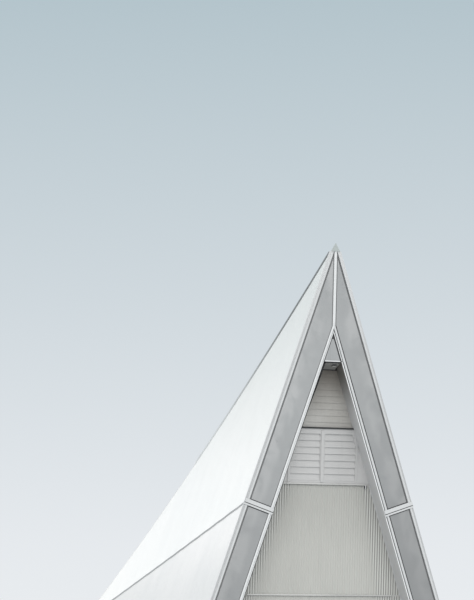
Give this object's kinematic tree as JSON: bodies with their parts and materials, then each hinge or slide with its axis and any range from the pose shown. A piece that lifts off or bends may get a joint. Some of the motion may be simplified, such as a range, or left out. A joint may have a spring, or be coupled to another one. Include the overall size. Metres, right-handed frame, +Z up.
{
  "type": "modern church building with a leaning a-shaped front",
  "caption": "Steep white tent-like church with a leaning A-shaped front, grey edge bands, a boarded recess with shutters and a ridge that falls to a low tail.",
  "frame": {"origin": "on the ground under the floor slab, at the middle of the building's length and width", "axes": "+Z up, the A-shaped front faces -Y, +X is to the right seen from the front"},
  "size_m": [10.5222, 28.1985, 15.2844],
  "materials": {
    "roof": "satin white sheet",
    "trim": "satin light grey sheet",
    "dark": "satin dark grey sheet",
    "panel": "matt mottled grey",
    "cladding": "matt warm grey",
    "shutter": "satin grey",
    "soffit": "matt grey",
    "concrete": "rough concrete",
    "lamp": "opal cover"
  },
  "bodies": {
    "root": {"roof_left_upper": "roof", "roof_left_lower": "roof", "roof_right_upper": "roof", "roof_right_lower": "roof", "plinth_left": "concrete", "plinth_right": "concrete", "seam_flashing_left": "dark", "seam_flashing_right": "dark", "ridge_cap": "dark", "band_panel_left_upper": "panel", "band_panel_left_lower": "panel", "band_panel_right_upper": "panel", "band_panel_right_lower": "panel", "outer_trim_left": "trim", "outer_trim_right": "trim", "inner_trim_left": "trim", "inner_trim_right": "trim", "cross_band_left": "trim", "cross_band_right": "trim", "gable_leg_left": "cladding", "gable_leg_right": "cladding", "centre_strip": "trim", "apex_cap": "trim", "gable_infill_panel": "panel", "infill_lip": "trim", "recess_soffit": "soffit", "soffit_light": "lamp", "upper_wall": "cladding", "upper_boards": "cladding", "shutter_hood": "dark", "shutter_left": "shutter", "shutter_right": "shutter", "shutter_side_wall_left": "cladding", "shutter_side_wall_right": "cladding", "sill_trim": "trim", "front_wall_upper": "cladding", "door_head_trim": "trim", "front_wall_left": "cladding", "front_wall_right": "cladding", "front_wall_over_door": "cladding", "door_frame": "trim", "door_leaf_left": "shutter", "door_leaf_right": "shutter", "floor_slab": "concrete", "porch_floor": "concrete", "rear_wall": "cladding", "rear_trim_left": "trim", "rear_trim_right": "trim"}
  },
  "joints": []
}
